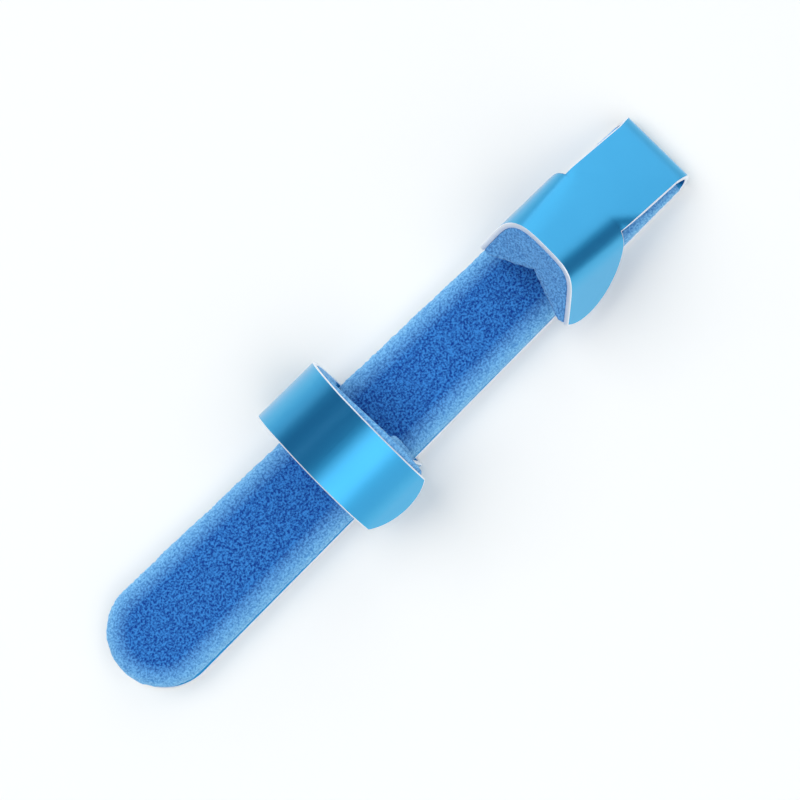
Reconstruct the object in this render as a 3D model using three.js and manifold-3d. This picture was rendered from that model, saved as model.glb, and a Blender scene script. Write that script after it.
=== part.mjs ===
// A fold-over finger splint. One blank of soft aluminium sheet, lined with foam, makes the whole splint:
// a long strip with a round end, two wings bent up into a ring, and a tip that is folded back over the
// strip and flares into a padded hood for the fingertip. Millimetres, +X towards the fingertip, +Z up.
import * as THREE from "three";
import Module from "manifold-3d";

const wasm = await Module();
wasm.setup();

// The sheet, the foam and the line of glue between them.
const SHEET = 1.0;
const PAD = 4.0;
const RING_PAD = 3.0;
const GLUE_LINE = 0.3;

// The strip, from its round end to the outside of the fold.
const STRIP_LENGTH = 139.6;
const END_WIDTH = 20.9;
const FOLD_WIDTH = 16.8;

// The foam's pinched edge: how far in it starts, and how much of the thickness is left at the edge.
const PAD_INSET = 0.3;
const PAD_EDGE = 2.4;
const PINCH = 0.4;

// The ring: where its near edge is along the strip, how wide its band is, and its outer size.
const RING_PLACE = 51.1;
const RING_BAND = 14.3;
const RING_WIDTH = 30.6;
const RING_HEIGHT = 22.5;

// The long wing leaves the ring's oval at an angle and runs on straight; both wings end in an arc.
const LONG_WING_TURN = THREE.MathUtils.degToRad(150);
const SHORT_WING_TURN = THREE.MathUtils.degToRad(104);
const FREE_END = 4.4;
const WING_END_RADIUS = 9.2;
const ROOT_BEND = 1.6;

// How far towards the fingertip the short wing sits from the long one, and each wing's foam from its metal.
const SHORT_WING_SHIFT = 0.9;
const PAD_SHIFT = 1.1;

// The fold and the layer that is turned back over the strip.
const FOLD_RADIUS = 2.8;
const HOOD_SLOPE = THREE.MathUtils.degToRad(28);
const HOOD_LENGTH = 33.2;
const NECK_WIDTH = 14.8;

// The hood's tabs on the flat blank: an ellipse on each side, centred a little behind the lip.
const TAB_REACH = 12.0;
const TAB_HALF = 10.4;
const TAB_CENTRE = 5.7;

// How the tabs are bent down: the flat between the bends, their radius, and the angle on each side.
const HOOD_FLAT = 8.2;
const SHOULDER_RADIUS = 4.0;
const LEFT_TAB_BEND = THREE.MathUtils.degToRad(79);
const RIGHT_TAB_BEND = THREE.MathUtils.degToRad(57);

// The hood's foam bunches up where the tabs are bent, so its underside is a low roof with a ridge.
const HOOD_RIDGE = 6.2;
const TAB_PAD = 1.2;

// How many steps each face takes along its run, and how many columns it has across.
const ROUND_STEPS = 8;
const STRIP_STEPS = 4;
const FOLD_STEPS = 10;
const SQUEEZE_STEPS = 6;
const NECK_STEPS = 4;
const TAB_STEPS = 15;
const OVAL_STEPS = 30;
const SHORT_OVAL_STEPS = 18;
const WING_END_STEPS = 3;
const ROOT_STEPS = 5;
const SHEET_COLUMNS = 28;
const BAND_COLUMNS = 6;
const PAD_COLUMNS = 12;
const HOOD_COLUMNS = 24;

// The first row's place: the round end has no width at its very tip. The last two serve the ring's oval.
const TIP_GAP = 0.1;
const HALVINGS = 30;
const SMALL_TURN = 0.01;

const COLOURS = { anodised: 0x2a9fe0, foam: 0x2f7fd6 };

const mix = THREE.MathUtils.lerp;
const stripRadius = END_WIDTH / 2;
const padTop = SHEET + GLUE_LINE + PAD;
const neckStart = TAB_CENTRE + TAB_HALF;

/** Half the strip's width at a distance from its round end: a semicircle, then a slow taper. */
function stripHalfWidth(x) {
  if (x < stripRadius) return Math.sqrt(stripRadius ** 2 - (stripRadius - x) ** 2);
  const share = (x - stripRadius) / (STRIP_LENGTH - stripRadius);
  return mix(END_WIDTH, FOLD_WIDTH, share) / 2;
}

/** Stations along the strip from its round end to a given place, close together on the round. */
function stripStations(from, to) {
  const stations = [];
  const first = Math.acos(1 - from / stripRadius);
  for (let i = 0; i < ROUND_STEPS; i++) {
    stations.push(stripRadius * (1 - Math.cos(mix(first, Math.PI / 2, i / ROUND_STEPS))));
  }
  for (let i = 0; i <= STRIP_STEPS; i++) stations.push(mix(stripRadius, to, i / STRIP_STEPS));
  return stations;
}

/**
 * A closed solid between two faces. Each row is a function of across (-1 to 1) and side (0 for the
 * outer face, 1 for the inner one) that gives a point; rows and columns make the grid of both faces.
 */
function slab(rows, columns) {
  const points = [];
  for (const side of [0, 1]) {
    for (const row of rows) {
      for (let j = 0; j <= columns; j++) points.push(row((2 * j) / columns - 1, side));
    }
  }
  const at = (side, i, j) => (side * rows.length + i) * (columns + 1) + j;
  const triangles = [];
  const quad = (a, b, c, d) => triangles.push([a, b, c], [a, c, d]);
  for (let i = 0; i + 1 < rows.length; i++) {
    for (let j = 0; j < columns; j++) {
      quad(at(0, i, j), at(0, i, j + 1), at(0, i + 1, j + 1), at(0, i + 1, j));
      quad(at(1, i, j), at(1, i + 1, j), at(1, i + 1, j + 1), at(1, i, j + 1));
    }
    quad(at(0, i, 0), at(0, i + 1, 0), at(1, i + 1, 0), at(1, i, 0));
    quad(at(0, i, columns), at(1, i, columns), at(1, i + 1, columns), at(0, i + 1, columns));
  }
  const last = rows.length - 1;
  for (let j = 0; j < columns; j++) {
    quad(at(0, 0, j), at(1, 0, j), at(1, 0, j + 1), at(0, 0, j + 1));
    quad(at(0, last, j), at(0, last, j + 1), at(1, last, j + 1), at(1, last, j));
  }
  return solidOf(points, triangles);
}

/** Points and triangles as a manifold solid, turned so that its faces point out. */
function solidOf(points, triangles) {
  let sixVolumes = 0;
  const [a, b, c] = [new THREE.Vector3(), new THREE.Vector3(), new THREE.Vector3()];
  for (const triangle of triangles) {
    [a, b, c].forEach((corner, k) => corner.fromArray(points[triangle[k]]));
    sixVolumes += a.dot(b.cross(c));
  }
  const outward = sixVolumes < 0 ? triangles.map(([p, q, r]) => [p, r, q]) : triangles;
  return new wasm.Manifold(
    new wasm.Mesh({
      numProp: 3,
      vertProperties: new Float32Array(points.flat()),
      triVerts: new Uint32Array(outward.flat()),
    }),
  );
}

/** A manifold solid as a named mesh with its own material. */
function meshOf(name, solid, material) {
  const { vertProperties, triVerts } = solid.getMesh();
  const geometry = new THREE.BufferGeometry();
  geometry.setAttribute("position", new THREE.BufferAttribute(vertProperties, 3));
  geometry.setIndex(new THREE.BufferAttribute(triVerts, 1));
  geometry.computeVertexNormals();
  const mesh = new THREE.Mesh(geometry, material);
  mesh.name = name;
  return mesh;
}

// The fold's bend, centred above the strip, and the straight layer that leaves it and rises to the lip.
const bendCentre = { x: STRIP_LENGTH - FOLD_RADIUS, z: FOLD_RADIUS };
const foldTurn = Math.PI - HOOD_SLOPE;

/** A point on the bend: its turn from the strip's underside, and its depth below the outer face. */
function bendPoint(turn, y, depth) {
  const radius = FOLD_RADIUS - depth;
  return [bendCentre.x + radius * Math.sin(turn), y, bendCentre.z - radius * Math.cos(turn)];
}

/** A point of the turned-back layer: back from its lip, sideways, and down from its outer face. */
function layerPoint(back, y, drop) {
  const run = HOOD_LENGTH - back;
  const [startX, , startZ] = bendPoint(foldTurn, 0, 0);
  return [
    startX - run * Math.cos(HOOD_SLOPE) - drop * Math.sin(HOOD_SLOPE),
    y,
    startZ + run * Math.sin(HOOD_SLOPE) - drop * Math.cos(HOOD_SLOPE),
  ];
}

/** Half the blank's width along the turned-back layer: the neck, and beyond it the elliptical tab. */
function layerHalfWidth(back) {
  const share = Math.min(1, Math.abs(back - TAB_CENTRE) / TAB_HALF);
  return NECK_WIDTH / 2 + TAB_REACH * Math.sqrt(1 - share ** 2);
}

/** Half the flat between the hood's two bends, which widens until it passes the neck's edge. */
function flatHalfWidth(back) {
  return mix(HOOD_FLAT, NECK_WIDTH, back / neckStart) / 2;
}

/** Where a place on the flat blank comes to lie in the hood: flat, round the bend, then straight. */
function hoodPoint(back, along, depth) {
  const flat = flatHalfWidth(back);
  const beyond = Math.abs(along) - flat;
  if (beyond <= 0) return layerPoint(back, along, depth);
  const bend = along > 0 ? LEFT_TAB_BEND : RIGHT_TAB_BEND;
  const turn = Math.min(beyond / SHOULDER_RADIUS, bend);
  const straight = beyond - turn * SHOULDER_RADIUS;
  const radius = SHOULDER_RADIUS - depth;
  const side = flat + radius * Math.sin(turn) + straight * Math.cos(turn);
  const drop = SHOULDER_RADIUS - radius * Math.cos(turn) + straight * Math.sin(turn);
  return layerPoint(back, Math.sign(along) * side, drop);
}

/** Distances back from the lip along the neck, from the fold up to where the tabs start. */
function neckStations() {
  return Array.from({ length: NECK_STEPS }, (_, i) => mix(HOOD_LENGTH, neckStart, i / NECK_STEPS));
}

/** Distances back from the lip over the tabs, evenly spaced round the tab's ellipse. */
function tabStations() {
  const lipTurn = Math.acos(-TAB_CENTRE / TAB_HALF);
  const station = (i) => TAB_CENTRE + TAB_HALF * Math.cos((lipTurn * i) / TAB_STEPS);
  return Array.from({ length: TAB_STEPS + 1 }, (_, i) => station(i));
}

/** The strip, the fold, the neck and the hood's metal, in one run from the round end to the lip. */
function stripSheet() {
  const rows = [];
  for (const x of stripStations(TIP_GAP, bendCentre.x)) {
    rows.push((across, side) => [x, across * stripHalfWidth(x), side * SHEET]);
  }
  for (let i = 1; i <= FOLD_STEPS; i++) {
    const share = i / FOLD_STEPS;
    const half = mix(FOLD_WIDTH, NECK_WIDTH, share) / 2;
    rows.push((across, side) => bendPoint(share * foldTurn, across * half, side * SHEET));
  }
  for (const back of [(HOOD_LENGTH + neckStart) / 2, ...tabStations()]) {
    rows.push((across, side) => hoodPoint(back, across * layerHalfWidth(back), side * SHEET));
  }
  return slab(rows, SHEET_COLUMNS);
}

// The ring's oval passes through the strip's left edge and is as wide and as high as the ring.
const ringMiddle = RING_PLACE + RING_BAND / 2;
const ringHalf = RING_WIDTH / 2;
const rootHalf = stripHalfWidth(ringMiddle);
const rootRise = Math.sqrt(1 - (rootHalf / ringHalf) ** 2);
const ringRadius = RING_HEIGHT / (1 + rootRise);
const ringCentre = ringRadius * rootRise;
const longWingRoot = -Math.asin(rootRise);
const wallMiddle = (ROOT_BEND + ringCentre) / 2;

// The ring's four bands, each a layer inside the last: its middle along the strip, how far in from the
// oval its outer and inner faces lie, and how much smaller than the metal it is all round.
const longWing = { middle: ringMiddle, outer: 0, inner: SHEET, margin: 0 };
const longPad = padIn(longWing);
const shortWing = layerIn(longPad, SHEET, SHORT_WING_SHIFT - PAD_SHIFT, 0);
const shortPad = padIn(shortWing);

/** The band of a given thickness that lies inside another one, a glue line in from it. */
function layerIn(band, thickness, shift, margin) {
  const outer = band.inner + GLUE_LINE;
  return { middle: band.middle + shift, outer, inner: outer + thickness, margin };
}

/** The foam inside a wing. */
function padIn(wing) {
  return layerIn(wing, RING_PAD, PAD_SHIFT, PAD_INSET);
}

/** A point of the oval at an angle from its left side, moved in along its normal by an inset. */
function ovalPoint(angle, inset) {
  const normal = new THREE.Vector2(Math.cos(angle) / ringHalf, Math.sin(angle) / ringRadius).normalize();
  return {
    y: ringHalf * Math.cos(angle) - inset * normal.x,
    z: ringCentre + ringRadius * Math.sin(angle) - inset * normal.y,
    heading: { y: -normal.y, z: normal.x },
  };
}

/** The angle on the oval's lower left at which its line at an inset reaches a height. */
function angleAtHeight(inset, height) {
  let [low, high] = [longWingRoot, 0];
  for (let i = 0; i < HALVINGS; i++) {
    const middle = (low + high) / 2;
    if (ovalPoint(middle, inset).z < height) low = middle;
    else high = middle;
  }
  return high;
}

/** A band's point at a place across it, with its y and z from a point of its profile. */
function bandPoint(band, across, { y, z }) {
  return [band.middle + across * (RING_BAND / 2 - band.margin), y, z];
}

/** How much shorter a band is at a place across it than on its wing's middle line. */
function endTrim(band, across) {
  return WING_END_RADIUS - Math.sqrt(WING_END_RADIUS ** 2 - ((across * RING_BAND) / 2) ** 2) + band.margin;
}

/** Rows of a band of the long wing, from an angle round the oval to the free end. */
function longWingRows(band, from) {
  const inset = (side) => mix(band.outer, band.inner, side);
  const rows = [];
  for (let i = 0; i <= OVAL_STEPS; i++) {
    const angle = mix(from, LONG_WING_TURN, i / OVAL_STEPS);
    rows.push((across, side) => bandPoint(band, across, ovalPoint(angle, inset(side))));
  }
  for (let i = 1; i <= WING_END_STEPS; i++) {
    rows.push((across, side) => {
      const { y, z, heading } = ovalPoint(LONG_WING_TURN, inset(side));
      const run = ((FREE_END - endTrim(band, across)) * i) / WING_END_STEPS;
      return bandPoint(band, across, { y: y + run * heading.y, z: z + run * heading.z });
    });
  }
  return rows;
}

/** Across the part, where the short wing's straight wall stands at a height, between its bend and the oval. */
function shortWallSide(z, inset) {
  const foot = -(rootHalf + ROOT_BEND) + (inset - shortWing.outer);
  return mix(foot, ovalPoint(Math.PI, inset).y, (z - ROOT_BEND) / (ringCentre - ROOT_BEND));
}

/** Rows of a band of the short wing: its straight wall from a height, and its way over under the long wing. */
function shortWingRows(band, from) {
  const inset = (side) => mix(band.outer, band.inner, side);
  const rows = [];
  for (const z of [from, (from + ringCentre) / 2]) {
    rows.push((across, side) => bandPoint(band, across, { y: shortWallSide(z, inset(side)), z }));
  }
  const [end, next] = [0, SMALL_TURN].map((more) => ovalPoint(SHORT_WING_TURN + more, band.outer));
  const turnRadius = Math.hypot(next.y - end.y, next.z - end.z) / SMALL_TURN;
  for (let i = 0; i <= SHORT_OVAL_STEPS; i++) {
    rows.push((across, side) => {
      const last = SHORT_WING_TURN + endTrim(band, across) / turnRadius;
      return bandPoint(band, across, ovalPoint(mix(Math.PI, last, i / SHORT_OVAL_STEPS), inset(side)));
    });
  }
  return rows;
}

/** Rows of the bend that turns the short wing up out of the strip's edge. */
function shortRootRows() {
  const rows = [(across, side) => bandPoint(shortWing, across, { y: SHEET - rootHalf, z: side * SHEET })];
  for (let i = 0; i <= ROOT_STEPS; i++) {
    const turn = (Math.PI / 2) * (i / ROOT_STEPS);
    rows.push((across, side) => {
      const radius = ROOT_BEND - side * SHEET;
      const y = -rootHalf - radius * Math.sin(turn);
      return bandPoint(shortWing, across, { y, z: ROOT_BEND - radius * Math.cos(turn) });
    });
  }
  return rows;
}

/** The sheet metal: strip, fold and hood, with the ring's two wings grown out of its edges. */
function aluminiumSplint() {
  const long = slab(longWingRows(longWing, longWingRoot), BAND_COLUMNS);
  const short = slab([...shortRootRows(), ...shortWingRows(shortWing, wallMiddle)], BAND_COLUMNS);
  return stripSheet().add(long).add(short);
}

/** How much of the foam's thickness is left at a distance in from its pinched edge. */
function crown(fromEdge) {
  const share = Math.min(1, Math.max(0, fromEdge / PAD_EDGE));
  return mix(PINCH, 1, Math.sqrt(1 - (1 - share) ** 2));
}

/** The thickness that each of the two foams is squeezed to where they meet towards the fold. */
function squeezedPad(x) {
  const [startX, , startZ] = bendPoint(foldTurn, 0, 0);
  const metalAbove = startZ + (startX - x) * Math.tan(HOOD_SLOPE) - SHEET / Math.cos(HOOD_SLOPE);
  return Math.min(PAD, (metalAbove - SHEET - 3 * GLUE_LINE) / 2);
}

/** The foam on the strip: flat on the sheet, with a pinched edge, thinner where the fold squeezes it. */
function basePad() {
  const rows = [];
  const squeezeStart = bendCentre.x - (2 * PAD) / Math.tan(HOOD_SLOPE);
  const stations = stripStations(PAD_INSET + TIP_GAP, squeezeStart);
  for (let i = 1; i <= SQUEEZE_STEPS; i++) stations.push(mix(squeezeStart, bendCentre.x, i / SQUEEZE_STEPS));
  const radius = stripRadius - PAD_INSET;
  for (const x of stations) {
    const beforeCentre = Math.max(0, stripRadius - x);
    const half = beforeCentre ? Math.sqrt(radius ** 2 - beforeCentre ** 2) : stripHalfWidth(x) - PAD_INSET;
    rows.push((across, side) => {
      const y = Math.sin((across * Math.PI) / 2) * half;
      const fromEdge = beforeCentre ? radius - Math.hypot(beforeCentre, y) : half - Math.abs(y);
      return [x, y, SHEET + GLUE_LINE + side * squeezedPad(x) * crown(fromEdge)];
    });
  }
  return slab(rows, PAD_COLUMNS);
}

/** The foam in the long wing, which starts just above the strip's foam. */
function longWingPad() {
  const start = angleAtHeight(longPad.inner, padTop + GLUE_LINE);
  return slab(longWingRows(longPad, start), BAND_COLUMNS);
}

/** The foam in the short wing, which stands just above the strip's foam. */
function shortWingPad() {
  return slab(shortWingRows(shortPad, padTop + GLUE_LINE), BAND_COLUMNS);
}

/** The foam under the turned-back layer: an even sheet at the neck, a roof with a ridge in the hood. */
function hoodPad() {
  const glued = SHEET + GLUE_LINE;
  const rows = [...neckStations(), ...tabStations()].map((back) => {
    const reach = layerHalfWidth(back) - PAD_INSET;
    const tabShare = (layerHalfWidth(back) - NECK_WIDTH / 2) / TAB_REACH;
    const [gluedX] = layerPoint(back, 0, glued);
    const even = squeezedPad(gluedX) * Math.cos(HOOD_SLOPE);
    const ridge = layerPoint(Math.max(back, PAD_INSET), 0, glued + mix(even, HOOD_RIDGE, tabShare));
    const tipDepth = glued + mix(even, TAB_PAD, tabShare);
    return (across, side) => {
      if (side === 0) return hoodPoint(back, across * reach, glued);
      const tip = hoodPoint(back, Math.sign(across) * reach, tipDepth);
      return ridge.map((value, k) => mix(value, tip[k], Math.abs(across)));
    };
  });
  return slab(rows, HOOD_COLUMNS);
}

const anodised = () => new THREE.MeshStandardMaterial({ color: COLOURS.anodised, roughness: 0.3, metalness: 0.9 });
const foam = () => new THREE.MeshStandardMaterial({ color: COLOURS.foam, roughness: 0.95, metalness: 0 });

const splint = new THREE.Group();
splint.add(meshOf("aluminium_splint", aluminiumSplint(), anodised()));
splint.add(meshOf("base_pad", basePad(), foam()));
splint.add(meshOf("long_wing_pad", longWingPad(), foam()));
splint.add(meshOf("short_wing_pad", shortWingPad(), foam()));
splint.add(meshOf("hood_pad", hoodPad(), foam()));

// The part's origin is under the middle of its box, on the surface that it lies on.
const box = new THREE.Box3().setFromObject(splint);
const middle = box.getCenter(new THREE.Vector3());
splint.position.set(-middle.x, -middle.y, -box.min.z);

const part = new THREE.Group();
part.add(splint);

export default part;
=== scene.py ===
import bpy
import numpy as np
from mathutils import Matrix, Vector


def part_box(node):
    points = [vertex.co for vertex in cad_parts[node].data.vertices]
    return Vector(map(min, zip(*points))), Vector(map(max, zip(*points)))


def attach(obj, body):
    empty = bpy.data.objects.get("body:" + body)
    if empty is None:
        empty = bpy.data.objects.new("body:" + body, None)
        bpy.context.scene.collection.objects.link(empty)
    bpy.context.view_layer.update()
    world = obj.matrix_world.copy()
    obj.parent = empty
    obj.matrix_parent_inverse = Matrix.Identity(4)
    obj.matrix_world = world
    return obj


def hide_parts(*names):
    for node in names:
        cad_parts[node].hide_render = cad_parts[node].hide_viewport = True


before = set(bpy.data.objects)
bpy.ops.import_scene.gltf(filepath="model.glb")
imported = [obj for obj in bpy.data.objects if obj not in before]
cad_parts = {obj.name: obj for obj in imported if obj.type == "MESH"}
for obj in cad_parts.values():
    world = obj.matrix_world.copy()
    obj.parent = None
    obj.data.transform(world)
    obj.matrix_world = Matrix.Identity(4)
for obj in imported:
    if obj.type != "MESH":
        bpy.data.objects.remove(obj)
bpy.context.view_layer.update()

# The sheet: one blank of soft aluminium a millimetre thick, brushed along its length, anodised blue and
# then die-cut, so that its cut edges are bare silver. It is bent by hand: a strip with a round end,
# a fold at the fingertip, and a layer turned back over the strip that flares into a hood with two tabs.
MM = 0.001
SHEET = 1.0
BROKEN_CORNER = 0.22
STRIP_LENGTH = 139.6
END_WIDTH, FOLD_WIDTH, NECK_WIDTH = 21.3, 17.1, 15.0
END_RADIUS = END_WIDTH / 2
FOLD_RADIUS = 2.8
HOOD_SLOPE = np.radians(29)
HOOD_LENGTH = 33.1
HOOD_LEAN = 0.2
TAB_REACH, TAB_HALF, TAB_CENTRE = 12.0, 9.8, 5.2
SHOULDER_RADIUS = 3.4
LEFT_EASES, RIGHT_EASES = (2.76, 1.7), (3.0, 3.0)
LIP_BOW = 2.1
LEFT_TAB_BEND, RIGHT_TAB_BEND = np.radians(85), np.radians(62)
LEFT_CORNERS, RIGHT_CORNERS, CORNER_FADE = (4.5, 5.65, 10.5), (5.1, 5.6, 10.5), 7.0
SHOULDER_REACH, SHOULDER_POINTS = 40.0, 2001
RING_WIDTH = 30.6
TIP_GAP = 0.02

low, high = (np.array(corner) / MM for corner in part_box("aluminium_splint"))
PLACE = np.array([high[0] - STRIP_LENGTH, high[1] - RING_WIDTH / 2, low[2]])

BEND_X = STRIP_LENGTH - FOLD_RADIUS
FOLD_TURN = np.pi - HOOD_SLOPE
LAYER_X = BEND_X + FOLD_RADIUS * np.sin(FOLD_TURN)
LAYER_Z = FOLD_RADIUS - FOLD_RADIUS * np.cos(FOLD_TURN)
NECK_START = TAB_CENTRE + TAB_HALF
TAB_SPAN = NECK_WIDTH / 2 + TAB_REACH


def mix(a, b, share):
    """Straight from a to b as share goes from 0 to 1."""
    return a + (b - a) * share


def strip_half_width(x, margin):
    """Half the strip's width, a margin in from its cut edge: a half circle, then a straight taper."""
    before = np.maximum(END_RADIUS - x, 0)
    rounded = np.sqrt(np.maximum((END_RADIUS - margin) ** 2 - before**2, 0))
    taper = mix(END_WIDTH, FOLD_WIDTH, (x - END_RADIUS) / (STRIP_LENGTH - END_RADIUS)) / 2 - margin
    return np.where(before > 0, rounded, taper)


def layer_half_width(back, margin):
    """Half the turned-back layer's width, back from its lip: the neck, plus half an ellipse for the tab."""
    share = np.minimum(1, np.abs(back - TAB_CENTRE) / (TAB_HALF - margin))
    return NECK_WIDTH / 2 - margin + TAB_REACH * np.sqrt(1 - share**2)


def layer_place(back, side, drop):
    """The layer leaves the fold at a slope, so run and drop turn by the slope into x and z."""
    run = HOOD_LENGTH - back
    x = LAYER_X - run * np.cos(HOOD_SLOPE) - drop * np.sin(HOOD_SLOPE)
    z = LAYER_Z + run * np.sin(HOOD_SLOPE) - drop * np.cos(HOOD_SLOPE)
    return np.stack(np.broadcast_arrays(x, side, z), -1)


def curve(length, heading):
    """A curve from its heading at each length along it: how far it has gone ahead, and how far aside."""
    step = np.diff(length)
    middle = (heading[1:] + heading[:-1]) / 2
    ahead = np.concatenate([[0], np.cumsum(step * np.cos(middle))])
    aside = np.concatenate([[0], np.cumsum(step * np.sin(middle))])
    return ahead, aside


def shoulder(bend, ease):
    """A shoulder's curve: its heading eases in and out, as a share less a sine wave of that share. Gives
    how early it starts before the corner that it rounds, and its lengths, headings and curve."""
    run = ease * SHOULDER_RADIUS * bend
    length = np.linspace(0, SHOULDER_REACH, SHOULDER_POINTS)
    share = np.clip(length / run, 0, 1)
    heading = bend * (share - np.sin(2 * np.pi * share) / (2 * np.pi))
    return (run - SHOULDER_RADIUS * bend) / 2, length, heading, *curve(length, heading)


# Each shoulder has one curve at the lip and one at the neck. How far out its corner lies is given at the
# lip, where the neck starts, and up the neck, where it is past the metal's edge and so has faded out.
LEFT_SHOULDER = ([shoulder(LEFT_TAB_BEND, ease) for ease in LEFT_EASES], LEFT_CORNERS)
RIGHT_SHOULDER = ([shoulder(RIGHT_TAB_BEND, ease) for ease in RIGHT_EASES], RIGHT_CORNERS)
CORNER_PLACES = (0, NECK_START, NECK_START + CORNER_FADE)


def hood_place(back, along, depth):
    """A place of the flat layer in the bent hood: flat, then round a shoulder and straight down the tab.
    Depth goes in along the normal. The lip bows forward by the square of the way out to the tab's tip."""
    bow = LIP_BOW * (along / TAB_SPAN) ** 2 * np.clip(1 - back / NECK_START, 0, 1)
    to_neck = np.clip(back / NECK_START, 0, 1)
    sides = []
    for curves, corners in (LEFT_SHOULDER, RIGHT_SHOULDER):
        shapes = []
        for early, length, heading, ahead, aside in curves:
            flat = np.maximum(np.interp(back, CORNER_PLACES, corners) - early, 0)
            beyond = np.maximum(np.abs(along) - flat, 0)
            turn = np.interp(beyond, length, heading)
            side = np.minimum(np.abs(along), flat) + np.interp(beyond, length, ahead) - depth * np.sin(turn)
            shapes.append((side, np.interp(beyond, length, aside) + depth * np.cos(turn)))
        sides.append([mix(at_lip, at_neck, to_neck) for at_lip, at_neck in zip(*shapes)])
    side, drop = (np.where(along > 0, left, right) for left, right in zip(*sides))
    return layer_place(back - bow, np.sign(along) * side - HOOD_LEAN * (1 - back / HOOD_LENGTH), drop)


# The fold is a tight bend that eases into the layer along a wider one; both together keep the strip's
# length and end on the layer's own line.
EASE_RADIUS, EASE_TURN, FOLD_POINTS = 9.0, np.radians(16), 1201
line_normal = np.array([np.sin(FOLD_TURN), -np.cos(FOLD_TURN)])
line_offset = line_normal @ [BEND_X, FOLD_RADIUS] + FOLD_RADIUS
TIGHT_RADIUS = (
    line_offset - line_normal[0] * STRIP_LENGTH - EASE_RADIUS * (1 - np.cos(EASE_TURN))
) / (line_normal[1] - line_normal[0] + np.cos(EASE_TURN))
FOLD_START = STRIP_LENGTH - TIGHT_RADIUS
TIGHT_RUN = TIGHT_RADIUS * (FOLD_TURN - EASE_TURN)
FOLD_RUN = TIGHT_RUN + EASE_RADIUS * EASE_TURN
fold_length = np.linspace(0, FOLD_RUN, FOLD_POINTS)
fold_heading = np.interp(fold_length, [0, TIGHT_RUN, FOLD_RUN], [0, FOLD_TURN - EASE_TURN, FOLD_TURN])
fold_x, fold_z = curve(fold_length, fold_heading)
to_fold_end = np.array([FOLD_START + fold_x[-1] - LAYER_X, fold_z[-1] - LAYER_Z])
LAYER_RUN = HOOD_LENGTH - to_fold_end @ [-np.cos(HOOD_SLOPE), np.sin(HOOD_SLOPE)]
BLANK_LENGTH = FOLD_START + FOLD_RUN + LAYER_RUN


def blank_place(s, across, depth, margin):
    """Where the blank's place s from the round end lies: on the strip, round the fold, or on the layer."""
    s = np.clip(s, margin + TIP_GAP, BLANK_LENGTH - margin)
    on_strip = np.stack(np.broadcast_arrays(s, across * strip_half_width(s, margin), depth), -1)
    gone = np.clip(s - FOLD_START, 0, FOLD_RUN)
    turn = np.interp(gone, fold_length, fold_heading)
    half = mix(FOLD_WIDTH, NECK_WIDTH, gone / FOLD_RUN) / 2 - margin
    bend_x = FOLD_START + np.interp(gone, fold_length, fold_x) - depth * np.sin(turn)
    bend_z = np.interp(gone, fold_length, fold_z) + depth * np.cos(turn)
    on_bend = np.stack(np.broadcast_arrays(bend_x, across * half, bend_z), -1)
    back = np.maximum(BLANK_LENGTH - s, 0)
    on_layer = hood_place(back, across * layer_half_width(back, margin), depth)
    s = s[..., None]
    return np.where(s <= FOLD_START, on_strip, np.where(s <= FOLD_START + FOLD_RUN, on_bend, on_layer))


def shell(place, rows, columns, rings):
    """A closed wall over a grid: two faces, one at the first ring's depth and margin and one at the last
    ring's, and between them the other rings carried round the grid's border. Gives points, quads, the
    ring that each quad starts from (below 0 for a face), and each point's row, column and ring."""
    u, v = np.meshgrid(rows, columns, indexing="ij")
    height, width = u.shape
    number = np.arange(height * width).reshape(height, width)
    border = np.concatenate([number[0, :-1], number[:-1, -1], number[-1, :0:-1], number[:0:-1, 0]])
    fu, fv = u.ravel(), v.ravel()
    inner_rings = rings[1:-1]
    runs = [(fu, fv, rings[0])]
    runs += [(fu[border], fv[border], ring) for ring in inner_rings]
    runs += [(fu, fv, rings[-1])]
    points = np.concatenate([place(ru, rv, *ring) for ru, rv, ring in runs])
    facts = [np.stack([ru, rv, np.full(ru.shape, float(k))], -1) for k, (ru, rv, _) in enumerate(runs)]
    cell = np.stack([number[:-1, :-1], number[1:, :-1], number[1:, 1:], number[:-1, 1:]], -1).reshape(-1, 4)
    last = len(points) - fu.size
    count = border.size
    loops = [border]
    loops += [fu.size + k * count + np.arange(count) for k in range(len(inner_rings))]
    loops += [last + border]
    sides = [
        np.stack([a, np.roll(a, -1), np.roll(b, -1), b], -1)
        for a, b in zip(loops[:-1], loops[1:])
    ]
    quads = np.concatenate([cell, *sides, (cell + last)[:, ::-1]])
    start = np.concatenate(
        [np.full(len(cell), -1), *[np.full(count, k) for k in range(len(sides))], np.full(len(cell), -2)]
    )
    return points, quads, start, np.concatenate(facts)


def outward(points, quads):
    """Turns all quads round if the volume that they close comes out negative."""
    a, b, c, d = (points[quads[:, k]] for k in range(4))
    volume = np.einsum("ij,ij->", a, np.cross(b, c)) + np.einsum("ij,ij->", a, np.cross(c, d))
    return quads if volume > 0 else quads[:, ::-1]


def mesh_piece(name, points, quads, materials, slots):
    """A smooth-shaded piece from points in the strip's millimetres, with each quad's material number."""
    mesh = bpy.data.meshes.new(name)
    mesh.from_pydata(((points + PLACE) * MM).tolist(), [], quads.tolist())
    for material in materials:
        mesh.materials.append(material)
    mesh.polygons.foreach_set("material_index", np.asarray(slots, dtype=np.int32))
    mesh.polygons.foreach_set("use_smooth", np.ones(len(quads), dtype=bool))
    mesh.update()
    piece = bpy.data.objects.new(name, mesh)
    bpy.context.scene.collection.objects.link(piece)
    return piece


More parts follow.
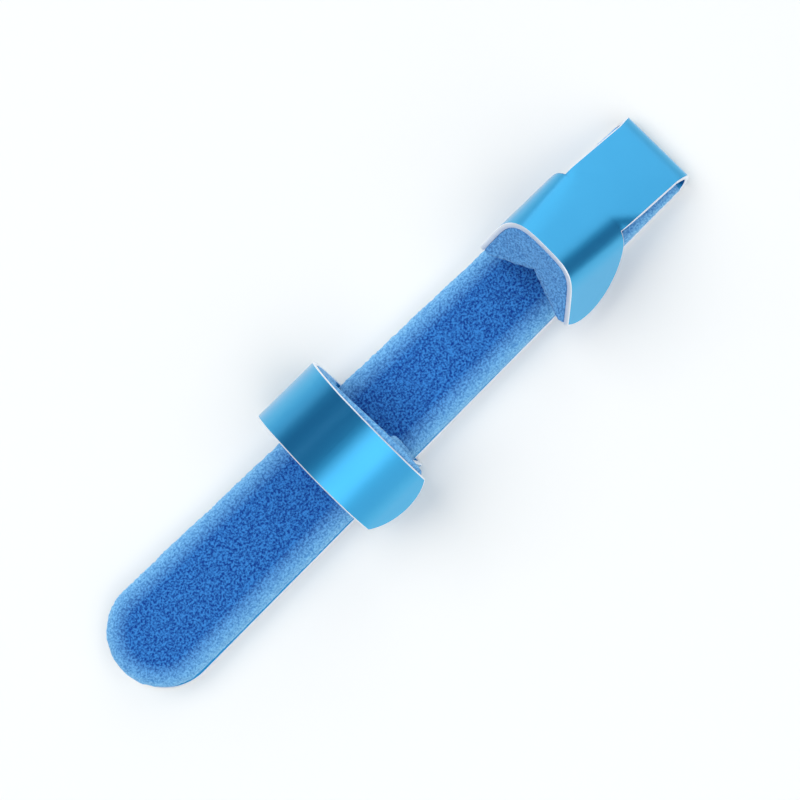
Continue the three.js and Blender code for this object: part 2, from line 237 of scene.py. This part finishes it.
def shader(name, base, metallic, roughness):
    """A new material, with its node tree, its principled shader and a call that adds and links nodes."""
    material = bpy.data.materials.new(name)
    material.use_nodes = True
    nodes, links = material.node_tree.nodes, material.node_tree.links
    principled = nodes["Principled BSDF"]
    principled.inputs["Base Color"].default_value = (*base, 1)
    principled.inputs["Metallic"].default_value = metallic
    principled.inputs["Roughness"].default_value = roughness

    def add(kind, values=None, sources=None, **settings):
        node = nodes.new(kind)
        for key, value in settings.items():
            setattr(node, key, value)
        for key, value in (values or {}).items():
            node.inputs[key].default_value = value
        for key, source in (sources or {}).items():
            links.new(source, node.inputs[key])
        return node

    return material, principled, add, links


def anodised_finish():
    """Blue anodised metal: fine streaks along x, the way the stock was brushed, under a thin clear skin."""
    material, principled, add, links = shader("blue_anodised", (0.05, 0.44, 0.82), 1.0, 0.33)
    place = add("ShaderNodeTexCoord")
    streaked = add("ShaderNodeMapping", {"Scale": (60, 4200, 4200)}, {"Vector": place.outputs["Object"]})
    streaks = add(
        "ShaderNodeTexNoise", {"Scale": 1.0, "Detail": 3.0}, {"Vector": streaked.outputs["Vector"]}
    )
    cloudy = add("ShaderNodeTexNoise", {"Scale": 90.0, "Detail": 2.0}, {"Vector": place.outputs["Object"]})
    rough = add(
        "ShaderNodeMapRange", {"To Min": 0.29, "To Max": 0.40}, {"Value": streaks.outputs["Fac"]}
    )
    links.new(rough.outputs["Result"], principled.inputs["Roughness"])
    tint = add(
        "ShaderNodeMix",
        {"A": (0.032, 0.41, 0.73, 1), "B": (0.044, 0.45, 0.77, 1)},
        {"Factor": cloudy.outputs["Fac"]},
        data_type="RGBA",
    )
    links.new(tint.outputs["Result"], principled.inputs["Base Color"])
    bump = add(
        "ShaderNodeBump", {"Strength": 0.12, "Distance": 0.00005}, {"Height": streaks.outputs["Fac"]}
    )
    links.new(bump.outputs["Normal"], principled.inputs["Normal"])
    principled.inputs["Coat Weight"].default_value = 0.8
    principled.inputs["Coat Roughness"].default_value = 0.25
    return material


def cut_edge_finish():
    """Bare aluminium where the die sheared it, with a fine burr across the edge: its own silver, given a
    near-white base and only part metallic so that the edge shows as a white line from every side, a painted
    highlight.
    """
    material, principled, add, links = shader("cut_edge", (0.95, 0.955, 0.97), 0.6, 0.45)
    place = add("ShaderNodeTexCoord")
    grain = add("ShaderNodeTexNoise", {"Scale": 2600.0, "Detail": 2.0}, {"Vector": place.outputs["Object"]})
    bump = add("ShaderNodeBump", {"Strength": 0.35, "Distance": 0.00008}, {"Height": grain.outputs["Fac"]})
    links.new(bump.outputs["Normal"], principled.inputs["Normal"])
    return material


anodised, bare_edge = anodised_finish(), cut_edge_finish()

# Round a cut edge the sheet's corners are broken by a quarter circle, taken in two steps.
half_step = BROKEN_CORNER * (1 - np.sqrt(0.5))
SHEET_RINGS = [
    (0.0, BROKEN_CORNER),
    (half_step, half_step),
    (BROKEN_CORNER, 0.0),
    (SHEET - BROKEN_CORNER, 0.0),
    (SHEET - half_step, half_step),
    (SHEET, BROKEN_CORNER),
]

lip_turn = np.arccos(-TAB_CENTRE / TAB_HALF)
sheet_rows = np.concatenate([
    END_RADIUS * (1 - np.cos(np.linspace(0, np.pi / 2, 25))),
    np.linspace(END_RADIUS, FOLD_START, 60)[1:],
    FOLD_START + np.linspace(0, FOLD_RUN, 44)[1:],
    BLANK_LENGTH - np.linspace(LAYER_RUN, NECK_START, 26)[1:],
    BLANK_LENGTH - (TAB_CENTRE + TAB_HALF * np.cos(np.linspace(0, lip_turn, 70)))[1:],
])
sheet_parts = [shell(blank_place, sheet_rows, np.linspace(-1, 1, 97), SHEET_RINGS)]

# The ring: two wings of the same sheet, bent up out of the strip's edges. The long one goes right over in
# an oval and runs on straight; the short one stands inside it and laps under it. Both end in an arc.
RING_PLACE, RING_BAND, RING_HEIGHT = 51.85, 14.3, 22.5
RING_PAD, GLUE_LINE = 3.0, 0.3
LONG_WING_TURN, SHORT_WING_TURN = np.radians(156), np.radians(104)
FREE_END, WING_END_RADIUS, ROOT_BEND = 4.8, 9.2, 1.6
WING_SKEW, RING_LEAN, ROOT_FLARE, TOP_FLARE = 0.6, 0.4, 1.04, 0.955
SHORT_WING_SHIFT, PAD_SHIFT, PAD_OVERHANG = 0.6, 0.25, 1.1
ROOT_LAP, ROOT_EASE, ROOT_TURN, ROOT_STEP = 1.5, 0.9, 0.08, 0.01
LONG_ROOT_RUN, SHORT_ROOT_RUN = 3.2, 4.2
OVERHANG_PLACE = 2.6
SKIN = 0.02
END_ROWS = np.linspace(0, FREE_END, 14)

ring_middle = RING_PLACE + RING_BAND / 2
ring_half = RING_WIDTH / 2
root_half = float(strip_half_width(np.array(ring_middle), 0))
root_rise = np.sqrt(1 - (root_half / ring_half) ** 2)
ring_radius = RING_HEIGHT / (1 + root_rise)
ring_centre = ring_radius * root_rise


def oval(angle, inset):
    """Points of the ring's oval, which is a half width times cos and a half height times sin, moved in
    along its normal."""
    normal = np.stack([np.cos(angle) / ring_half, np.sin(angle) / ring_radius], -1)
    normal /= np.linalg.norm(normal, axis=-1, keepdims=True)
    ring = np.stack([ring_half * np.cos(angle), ring_centre + ring_radius * np.sin(angle)], -1)
    return ring - inset * normal


def measured(line, inward):
    """A line of points with its length up to each point and its normal, its heading turned inward."""
    steps = np.linalg.norm(np.diff(line, axis=0), axis=1)
    length = np.concatenate([[0], np.cumsum(steps)])
    heading = np.gradient(line, length, axis=0)
    heading /= np.linalg.norm(heading, axis=1, keepdims=True)
    normal = inward * np.stack([-heading[:, 1], heading[:, 0]], -1)
    return length, line, normal


def on_line(path, s, depth):
    """The y and z of a place along a measured line, moved in along its normal by a depth."""
    length, line, normal = path
    y, z = (np.interp(s, length, line[:, k]) for k in (0, 1))
    ny, nz = (np.interp(s, length, normal[:, k]) for k in (0, 1))
    return y + depth * ny, z + depth * nz


def wing(path, middle):
    """The place function of a band along a line. Its last stretch shortens towards the band's edges by the
    arc of its end, and more on the side of the round end. The band is a little wider at its root, and
    leans towards the round end as it rises."""
    whole = path[0][-1]
    held = whole - FREE_END

    def place(s, across, depth, margin):
        reach = across * RING_BAND / 2
        trim = WING_END_RADIUS - np.sqrt(WING_END_RADIUS**2 - reach**2) + WING_SKEW * (1 - across)
        share = np.maximum(s - held, 0) / (whole - held)
        s = np.maximum(np.minimum(s, held), margin) + share * (whole - trim - margin - held)
        y, z = on_line(path, s, depth)
        flare = mix(ROOT_FLARE, TOP_FLARE, np.clip(2 * s / whole, 0, 1))
        x = middle + across * (flare * RING_BAND / 2 - margin) - RING_LEAN * z / RING_HEIGHT
        return np.stack([x, y, z], -1)

    return place


root_angle = -np.arcsin(root_rise)
first_oval = oval(np.linspace(root_angle, LONG_WING_TURN, 400), 0.0)
end_heading = first_oval[-1] - first_oval[-2]
end_heading /= np.linalg.norm(end_heading)
bend_share = np.linspace(0, 1, 20)[:, None]
root_point, after_root = first_oval[0], oval(np.array(root_angle + ROOT_TURN), 0.0)
root_start = root_point - [ROOT_EASE, 0]
fillet = (
    root_start * (1 - bend_share) ** 2
    + root_point * 2 * bend_share * (1 - bend_share)
    + after_root * bend_share**2
)
long_line = np.concatenate([
    [root_point - [ROOT_LAP, 0]],
    fillet,
    oval(np.linspace(root_angle + ROOT_TURN + ROOT_STEP, LONG_WING_TURN, 400), 0.0),
    first_oval[-1] + np.linspace(0, FREE_END, 12)[1:, None] * end_heading,
])
long_path = measured(long_line, 1)
long_rows = np.concatenate([
    np.linspace(0, LONG_ROOT_RUN, 12),
    np.linspace(LONG_ROOT_RUN, long_path[0][-1] - FREE_END, 90)[1:],
    long_path[0][-1] - FREE_END + END_ROWS[1:],
])

short_inset = SHEET + GLUE_LINE + RING_PAD + GLUE_LINE
turn = np.linspace(0, np.pi / 2, 14)[:, None]
foot = np.concatenate([-root_half - ROOT_BEND * np.sin(turn), ROOT_BEND * (1 - np.cos(turn))], 1)
wall_top = oval(np.array(np.pi), short_inset)
short_line = np.concatenate([
    [[-root_half + ROOT_LAP, 0]],
    foot,
    mix(foot[-1], wall_top, np.linspace(0, 1, 20)[1:-1, None]),
    oval(np.linspace(np.pi, SHORT_WING_TURN, 200), short_inset),
])
short_path = measured(short_line, -1)
short_rows = np.concatenate([
    np.linspace(0, SHORT_ROOT_RUN, 18),
    np.linspace(SHORT_ROOT_RUN, short_path[0][-1] - FREE_END, 40)[1:],
    short_path[0][-1] - FREE_END + END_ROWS[1:],
])

band_columns = np.linspace(-1, 1, 29)
wing_rings = [(SKIN + depth * (1 - 2 * SKIN), margin) for depth, margin in SHEET_RINGS]
sheet_parts += [
    shell(wing(long_path, ring_middle), long_rows, band_columns, wing_rings),
    shell(wing(short_path, ring_middle + SHORT_WING_SHIFT), short_rows, band_columns, wing_rings),
]

# All three parts are one piece of metal, so they are one mesh. Where a wing leaves the strip nothing was
# cut, so the strip's edge keeps its blue between the band's two edges there.
BAND_INSET, ROOT_IN, ROOT_OUT, ROOT_UP = 0.2, 2.0, 0.2, 0.1
points, quads, cuts, shift = [], [], [], 0
for part_points, part_quads, start, _ in sheet_parts:
    points.append(part_points)
    quads.append(outward(part_points, part_quads) + shift)
    cuts.append(start >= 0)
    shift += len(part_points)
points, quads, cuts = (np.concatenate(rows) for rows in (points, quads, cuts))
middles = points[quads].mean(1)
in_band = np.abs(middles[:, 0] - ring_middle) < RING_BAND / 2 - BAND_INSET
past_edge = np.abs(middles[:, 1]) - root_half
at_root = in_band & (past_edge > -ROOT_IN) & (past_edge < ROOT_OUT)
cuts &= ~(at_root & (middles[:, 2] < SHEET + ROOT_UP))
splint_sheet = mesh_piece("splint_sheet", points, quads, [anodised, bare_edge], cuts)

# The face grids keep their own normals, so the rows of edges between a face and a cut edge are sharp.
mesh = splint_sheet.data
edge_ends = np.empty(len(mesh.edges) * 2, dtype=np.int32)
mesh.edges.foreach_get("vertices", edge_ends)
on_face = np.zeros(len(points), dtype=bool)
on_face[quads[~cuts]] = True
on_cut = np.zeros(len(points), dtype=bool)
on_cut[quads[cuts]] = True
on_border = (on_face & on_cut)[edge_ends].reshape(-1, 2).all(1)
mesh.edges.foreach_set("use_edge_sharp", on_border)
mesh.update()
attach(splint_sheet, "root")
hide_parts("aluminium_splint")

# The strip's foam: a sheet of open-cell foam glued to the metal and die-cut with it, so that its edge is
# pinched down. It runs from the round end into the fold, where the two layers squeeze it.
PAD, PAD_INSET, PAD_EDGE, PINCH = 4.0, 0.22, 2.4, 0.45
GLUE = 0.04
CELL = 0.62
ROUGH_LAYERS = ((0.13, CELL, 11), (0.08, CELL * 0.5, 23), (0.05, CELL * 9, 37))
FREE_RING = 4
BASE_SHIFT = (0.3, -0.1)
# Painted light: how far in from the cut edge the strip's foam is painted paler, and how that pale fades.
PAINTED_LIGHT_REACH, PAINTED_LIGHT_POWER = 4.4, 0.75
BASE_RINGS = [(0.0, 0.6), (0.1, 0.3), (0.3, 0.06), (0.6, 0.0), (0.88, 0.03), (1.0, 0.14)]


def lattice_noise(points, cell, seed):
    """Random values, -1 to 1, at the corners of a cubic lattice, blended smoothly over each cube."""
    scaled = points / cell
    base = np.floor(scaled).astype(np.int64)
    part = scaled - base
    part = part * part * (3 - 2 * part)
    total = np.zeros(len(points))
    for corner in np.ndindex(2, 2, 2):
        key = (base + corner) @ np.array([73856093, 19349663, 83492791]) + seed
        key = ((key ^ (key >> 13)) * 1274126177) & 0x7FFFFFFF
        value = ((key ^ (key >> 15)) & 0xFFFF) / 0x8000 - 1
        total += value * np.where(corner, part, 1 - part).prod(axis=1)
    return total


def foam_finish():
    """Open-cell foam: one fine noise that runs from dark pores to paler walls, deep blue, mixed towards a
    much paler blue by the painted_edge_light attribute. That mix is painted light: the glow of light
    through the thin foam at its cut rim and on lit cut faces."""
    material, principled, add, links = shader("blue_foam", (0.03, 0.18, 0.62), 0.0, 0.95)
    place = add("ShaderNodeTexCoord")
    cells = add(
        "ShaderNodeTexNoise",
        {"Scale": 2500.0, "Detail": 2.0, "Roughness": 0.6},
        {"Vector": place.outputs["Object"]},
    )
    ramp = add("ShaderNodeValToRGB", {}, {"Fac": cells.outputs["Fac"]})
    ramp.color_ramp.elements[0].position = 0.38
    ramp.color_ramp.elements[0].color = (0.004, 0.045, 0.26, 1)
    ramp.color_ramp.elements[1].position = 0.62
    ramp.color_ramp.elements[1].color = (0.045, 0.25, 0.64, 1)
    # Painted light: this attribute mixes the deep blue towards the pale ramp where light would shine
    # through or fall on the foam.
    painted_edge_light = add("ShaderNodeAttribute", attribute_name="painted_edge_light")
    painted_light_ramp = add("ShaderNodeValToRGB", {}, {"Fac": cells.outputs["Fac"]})
    painted_light_ramp.color_ramp.elements[0].position = 0.34
    painted_light_ramp.color_ramp.elements[0].color = (0.11, 0.38, 0.74, 1)
    painted_light_ramp.color_ramp.elements[1].position = 0.66
    painted_light_ramp.color_ramp.elements[1].color = (0.32, 0.70, 0.96, 1)
    tint = add(
        "ShaderNodeMix",
        {},
        {
            "Factor": painted_edge_light.outputs["Fac"],
            "A": ramp.outputs["Color"],
            "B": painted_light_ramp.outputs["Color"],
        },
        data_type="RGBA",
    )
    links.new(tint.outputs["Result"], principled.inputs["Base Color"])
    bump = add("ShaderNodeBump", {"Strength": 0.7, "Distance": 0.0003}, {"Height": cells.outputs["Fac"]})
    links.new(bump.outputs["Normal"], principled.inputs["Normal"])
    principled.inputs["Specular IOR Level"].default_value = 0.15
    principled.inputs["Sheen Weight"].default_value = 0.15
    return material


foam = foam_finish()


def foam_piece(name, place, rows, columns, rings, painted_edge_light, node, coarse=1.0):
    """A pad of foam: a closed shell, roughened by its cells more and more away from the glued face, with a
    value from 0 to 1 of painted light at each point, which says how far the foam is painted paler where
    light would glow through it or fall on it."""
    points, quads, _, facts = shell(place, rows, columns, rings)
    quads = outward(points, quads)
    piece = mesh_piece(name, points, quads, [foam], np.zeros(len(quads)))
    normals = np.empty(len(points) * 3)
    piece.data.vertex_normals.foreach_get("vector", normals)
    rough = sum(height * lattice_noise(points, cell, seed) for height, cell, seed in ROUGH_LAYERS)
    free = np.clip(facts[:, 2] / FREE_RING, 0, 1)
    points = points + normals.reshape(-1, 3) * (coarse * rough * free)[:, None]
    piece.data.vertices.foreach_set("co", ((points + PLACE) * MM).ravel())
    # Painted light: the share of the pale tint that each point gets.
    value = np.clip(painted_edge_light(facts[:, 0], facts[:, 1], facts[:, 2]), 0, 1)
    piece.data.attributes.new("painted_edge_light", "FLOAT", "POINT").data.foreach_set("value", value)
    piece.data.update()
    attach(piece, "root")
    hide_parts(node)


def squeezed(x):
    """Half of the room between the strip and the sloping layer, up to the foam's own thickness."""
    above = LAYER_Z + (LAYER_X - x) * np.tan(HOOD_SLOPE) - SHEET / np.cos(HOOD_SLOPE)
    return np.minimum(PAD, (above - SHEET - 3 * GLUE_LINE) / 2)


def rim_distance(x, across, margin):
    """How far a place of the strip's foam is in from its cut edge."""
    half = strip_half_width(x, PAD_INSET + margin)
    radial = END_RADIUS - PAD_INSET - np.hypot(np.maximum(END_RADIUS - x, 0), across * half)
    return np.where(x < END_RADIUS, radial, half * (1 - np.abs(across)) + margin)


def base_place(x, across, share, margin):
    """The strip's foam: it rises from its pinched edge by a quarter ellipse to its full thickness."""
    x = np.clip(x, PAD_INSET + margin + TIP_GAP, BEND_X)
    half = strip_half_width(x, PAD_INSET + margin)
    inside = np.clip(rim_distance(x, across, margin) / PAD_EDGE, 0, 1)
    crown = mix(PINCH, 1, np.sqrt(1 - (1 - inside) ** 2))
    z = SHEET + GLUE + share * (squeezed(x) * crown + GLUE_LINE - GLUE)
    y = across * half + mix(*BASE_SHIFT, x / STRIP_LENGTH)
    return np.stack([x, y, z], -1)


base_rows = np.concatenate([
    END_RADIUS * (1 - np.cos(np.linspace(0, np.pi / 2, 44))),
    np.linspace(END_RADIUS, BEND_X, 440)[1:],
])
foam_piece(
    "base_foam",
    base_place,
    base_rows,
    np.linspace(-1, 1, 79),
    BASE_RINGS,
    # Painted light: paler within a few millimetres of the cut edge, for light that glows through the thin
    # foam there. The two rings at the glued foot keep the deep blue, a painted dark line of shade where the
    # foam meets the metal.
    lambda x, across, ring: (1 - np.clip(rim_distance(x, across, 0) / PAINTED_LIGHT_REACH, 0, 1) ** PAINTED_LIGHT_POWER) * (ring > 1),
    "base_pad",
)

# The ring's foam: each wing keeps its own strip of the foam, glued inside the metal. Towards the fingertip
# it stands out a little from under the metal, most of all past the top, so its cut edge shows there. The
# band's sides and its cut faces are painted paler than its middle. This is painted light, for where light
# falls on the foam and glows through it.
PAD_RINGS = [(0.0, 0.35), (0.12, 0.3), (0.4, 0.3), (0.7, 0.36), (0.9, 0.55), (1.0, 0.95)]
PAD_ROUGH, ROW_PITCH, ROOT_CLEAR = 0.45, 0.3, 3.0
PAINTED_BAND_EDGE_LIGHT, PAINTED_BAND_MIDDLE_FADE, PAINTED_CUT_LIGHT = 0.75, 0.55, 0.2


def ring_pad(name, path, middle, start, columns, node):
    """A wing's foam: the wing's own band, moved in by the metal's thickness, from a length along its line.
    It bulges past the metal by a sine of a power of the share of the way along."""
    whole = path[0][-1]
    band = wing(path, middle)

    def place(s, across, share, margin):
        s = np.minimum(np.maximum(s, start + margin), whole)
        depth = mix(SHEET + GLUE, SHEET + GLUE_LINE + RING_PAD, share)
        points = band(s, across, depth, margin)
        points[..., 0] += PAD_OVERHANG * np.sin(np.pi * (s / whole) ** OVERHANG_PLACE)
        return points

    # Painted light: paler at the band's edges and on its cut faces, and darker towards its middle.
    def painted_band_light(s, across, ring):
        cut = (ring > 0) * (ring < len(PAD_RINGS) - 1)
        return PAINTED_BAND_EDGE_LIGHT - PAINTED_BAND_MIDDLE_FADE * (1 - np.abs(across)) + PAINTED_CUT_LIGHT * cut

    rows = np.concatenate([
        np.linspace(start, whole - FREE_END, int((whole - start) / ROW_PITCH)),
        whole - FREE_END + END_ROWS[1:],
    ])
    foam_piece(
        name,
        place,
        rows,
        columns,
        PAD_RINGS,
        painted_band_light,
        node,
        PAD_ROUGH,
    )


def start_length(path, inset, height):
    """The length along a line at which the line moved in by an inset first stands above a height."""
    z = path[1][:, 1] + inset * path[2][:, 1]
    past_root = path[0] > ROOT_CLEAR
    return path[0][np.argmax((z > height) & past_root)]


pad_top = SHEET + GLUE_LINE + PAD + GLUE_LINE
pad_columns = np.linspace(-1, 1, 49)
inner = SHEET + GLUE_LINE + RING_PAD
ring_pad(
    "long_wing_foam",
    long_path,
    ring_middle + PAD_SHIFT,
    start_length(long_path, inner, pad_top),
    pad_columns,
    "long_wing_pad",
)
ring_pad(
    "short_wing_foam",
    short_path,
    ring_middle + SHORT_WING_SHIFT + PAD_SHIFT,
    start_length(short_path, inner, pad_top),
    pad_columns,
    "short_wing_pad",
)

# The hood's foam: the same foam, glued under the turned-back layer. It is an even sheet at the neck; in the
# hood the bent tabs bunch it into two lobes, so that its mouth is a low arch with a crease in the middle.
HOOD_RIDGE, RIDGE_SIDE, TAB_PAD, LOBE = 7.0, -1.6, 1.2, 0.45
# Painted light: how pale the hood foam's cut mouth and its faces near the lip are painted.
PAINTED_MOUTH_LIGHT, PAINTED_LIP_LIGHT, PAINTED_LIP_LIGHT_FADE = 0.42, 0.35, 0.1
DROP_WAY = np.array([-np.sin(HOOD_SLOPE), 0.0, -np.cos(HOOD_SLOPE)])
HOOD_RINGS = [(0.0, 0.12), *((share, 0.05) for share in (0.1, 0.22, 0.35, 0.48, 0.6, 0.72)),
              (0.84, 0.08), (0.94, 0.18), (1.0, 0.4)]


def hood_foam_place(back, across, share, margin):
    """From the glued face to an inner face that is straight from the crease to the tab's tip, plus a low
    bulge for each lobe, which is a half sine wave across it."""
    back = np.maximum(back, margin)
    reach = layer_half_width(back, 0) - PAD_INSET - margin
    tab_share = (layer_half_width(back, 0) - NECK_WIDTH / 2) / TAB_REACH
    glued = SHEET + GLUE
    even = squeezed(layer_place(back, 0, SHEET + GLUE_LINE)[..., 0]) * np.cos(HOOD_SLOPE) + GLUE_LINE - GLUE
    ridge = layer_place(back, RIDGE_SIDE * tab_share, glued + mix(even, HOOD_RIDGE, tab_share))
    tip_depth = glued + mix(even, TAB_PAD, tab_share)
    tip = hood_place(back, np.where(across < 0, -1, 1) * reach, tip_depth)
    inner_face = mix(ridge, tip, np.abs(across)[..., None])
    lobe = LOBE * tab_share * np.sin(np.pi * np.abs(across))
    inner_face = inner_face + lobe[..., None] * DROP_WAY
    outer_face = hood_place(back, across * reach, glued)
    return mix(outer_face, inner_face, share)


def hood_painted_light(back, across, ring):
    """Painted light on the hood's foam: an even pale on its cut edge, where light falls on it, and on its
    faces a pale that fades going back from the lip, so that deeper in they are left darker as painted
    shade.
    """
    cut = (ring > 0) & (ring < len(HOOD_RINGS) - 1)
    return np.where(cut, PAINTED_MOUTH_LIGHT, PAINTED_LIP_LIGHT - PAINTED_LIP_LIGHT_FADE * back)


hood_rows = np.concatenate([
    np.linspace(HOOD_LENGTH, NECK_START, 60),
    (TAB_CENTRE + TAB_HALF * np.cos(np.linspace(0, lip_turn, 90)))[1:],
])
foam_piece(
    "hood_foam",
    hood_foam_place,
    hood_rows,
    np.linspace(-1, 1, 121),
    HOOD_RINGS,
    hood_painted_light,
    "hood_pad",
)

# The surface that the splint lies on: one large plain white sheet, matt and a little warm, so that the
# bluish light of the studio leaves it white.
FLOOR_SIZE = 1.6
floor_mesh = bpy.data.meshes.new("floor")
corner = FLOOR_SIZE / 2
floor_mesh.from_pydata(
    [(-corner, -corner, 0), (corner, -corner, 0), (corner, corner, 0), (-corner, corner, 0)],
    [],
    [(0, 1, 2, 3)],
)
floor = bpy.data.objects.new("floor", floor_mesh)
bpy.context.scene.collection.objects.link(floor)
white_sweep = shader("white_sweep", (0.99, 0.95, 0.88), 0.0, 0.9)[0]
floor_mesh.materials.append(white_sweep)

# The light: softboxes overhead, beyond the fingertip, to the right of it and along both sides, and a thin
# strip light, which all show in the metal, in a dim bluish studio. A soft key from the upper left, which
# doesn't show in it, gives the floor its even white.
STUDIO_TINT, STUDIO_STRENGTH = (0.38, 0.64, 1.0, 1), 0.27
world = bpy.data.worlds.new("studio")
world.use_nodes = True
world.node_tree.nodes["Background"].inputs["Color"].default_value = STUDIO_TINT
world.node_tree.nodes["Background"].inputs["Strength"].default_value = STUDIO_STRENGTH
bpy.context.scene.world = world


def softbox(name, centre, facing, size, radiance, in_gloss=True):
    """A rectangular light that faces a point; its power is radiance times pi times its area."""
    light = bpy.data.lights.new(name, "AREA")
    light.shape = "RECTANGLE"
    light.size, light.size_y = size
    light.energy = radiance * np.pi * size[0] * size[1]
    lamp = bpy.data.objects.new(name, light)
    away = np.array(centre, dtype=float) - np.array(facing, dtype=float)
    away /= np.linalg.norm(away)
    side = np.cross([1.0, 0, 0], away) if abs(away[0]) < 0.7 else np.cross([0, 1.0, 0], away)
    side /= np.linalg.norm(side)
    other = np.cross(side, away)
    matrix = np.eye(4)
    matrix[:3, 0], matrix[:3, 1], matrix[:3, 2], matrix[:3, 3] = other, side, away, centre
    lamp.matrix_world = Matrix(matrix.tolist())
    lamp.visible_glossy = in_gloss
    bpy.context.scene.collection.objects.link(lamp)


softbox("overhead", (0.0, -0.29, 0.6), (0.0, 0.0, 0.0), (1.0, 0.5), 1.4)
softbox("beyond_tip", (0.85, 0.36, 0.48), (0.0, 0.0, 0.0), (0.8, 1.0), 1.05)
softbox("right_of_tip", (0.35, -0.72, 0.2), (0.0, 0.0, 0.0), (0.4, 0.55), 0.75)
softbox("left_side", (0.1, 0.85, 0.19), (0.0, 0.0, 0.1), (1.8, 0.38), 0.6)
softbox("right_side", (-0.2, -0.85, 0.36), (0.0, 0.0, 0.0), (0.8, 0.8), 0.62)
softbox("slit", (0.0, 0.36, 0.62), (0.0, 0.0, 0.0), (1.2, 0.03), 0.95)
softbox("key", (-0.25, 0.5, 0.8), (0.0, 0.0, 0.0), (0.9, 0.9), 2.3, in_gloss=False)

# The camera looks almost straight down on the splint, which lies across the picture at 45 degrees with
# its fingertip up and to the right. Its aim and distance are in millimetres.
CAMERA_AIM = np.array([2.4, 0.5, 0.0])
CAMERA_DISTANCE = 320.0
CAMERA_TILT = np.radians(6.0)
CAMERA_TURN = np.radians(0.6)
LENS, SENSOR = 76.7, 36.0

along = np.array([np.cos(CAMERA_TURN), np.sin(CAMERA_TURN), 0.0])
backward = np.array([
    np.sin(CAMERA_TILT) * np.sin(CAMERA_TURN),
    -np.sin(CAMERA_TILT) * np.cos(CAMERA_TURN),
    np.cos(CAMERA_TILT),
])
across_view = np.cross(backward, along)
camera_data = bpy.data.cameras.new("camera")
camera_data.lens, camera_data.sensor_width = LENS, SENSOR
camera_data.clip_start, camera_data.clip_end = 0.01, 10.0
camera = bpy.data.objects.new("camera", camera_data)
bpy.context.scene.collection.objects.link(camera)
camera_matrix = np.eye(4)
camera_matrix[:3, 0] = (along - across_view) / np.sqrt(2)
camera_matrix[:3, 1] = (along + across_view) / np.sqrt(2)
camera_matrix[:3, 2] = backward
camera_matrix[:3, 3] = (CAMERA_AIM + CAMERA_DISTANCE * backward) * MM
camera.matrix_world = Matrix(camera_matrix.tolist())
bpy.context.scene.camera = camera
bpy.context.scene.view_settings.view_transform = "Standard"
